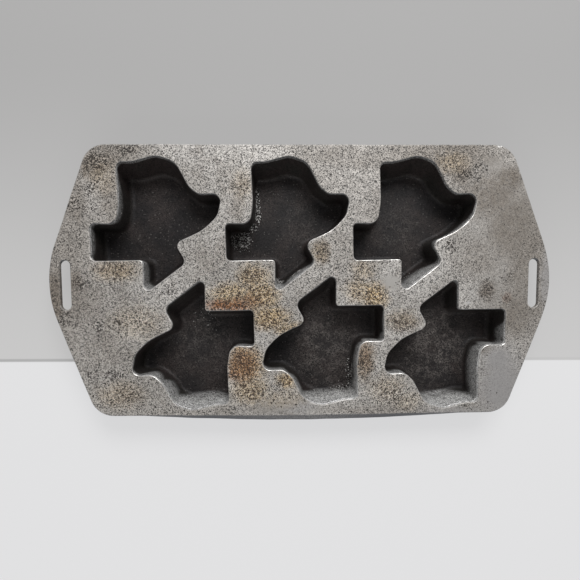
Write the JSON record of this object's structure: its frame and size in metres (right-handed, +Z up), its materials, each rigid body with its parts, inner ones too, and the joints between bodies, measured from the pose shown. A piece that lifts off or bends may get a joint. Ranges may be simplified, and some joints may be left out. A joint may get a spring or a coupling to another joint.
{
  "type": "shaped cornbread pan",
  "caption": "Cast-iron cornbread pan with state-shaped moulds in nesting rows under a flat deck, and a finger slot in each bowed end.",
  "frame": {"origin": "middle of the pan's footprint, on the table that the mould floors rest on", "axes": "+X along the pan's length, +Y across it from the lower row of moulds to the upper row, +Z up, out of the moulds' mouths"},
  "size_m": [0.3942, 0.2168, 0.0306],
  "materials": {
    "ground_iron": "ground bare, finely pitted, with brown rust stains",
    "seasoned_iron": "black oil seasoning with a dull sheen"
  },
  "bodies": {
    "root": {"deck_left_bay": "ground_iron", "deck_middle_bay": "ground_iron", "deck_right_bay": "ground_iron", "left_handle_end": "ground_iron", "right_handle_end": "ground_iron", "mould_upper_left": "seasoned_iron", "mould_upper_middle": "seasoned_iron", "mould_upper_right": "seasoned_iron", "mould_lower_left": "seasoned_iron", "mould_lower_middle": "seasoned_iron", "mould_lower_right": "seasoned_iron"}
  },
  "joints": []
}
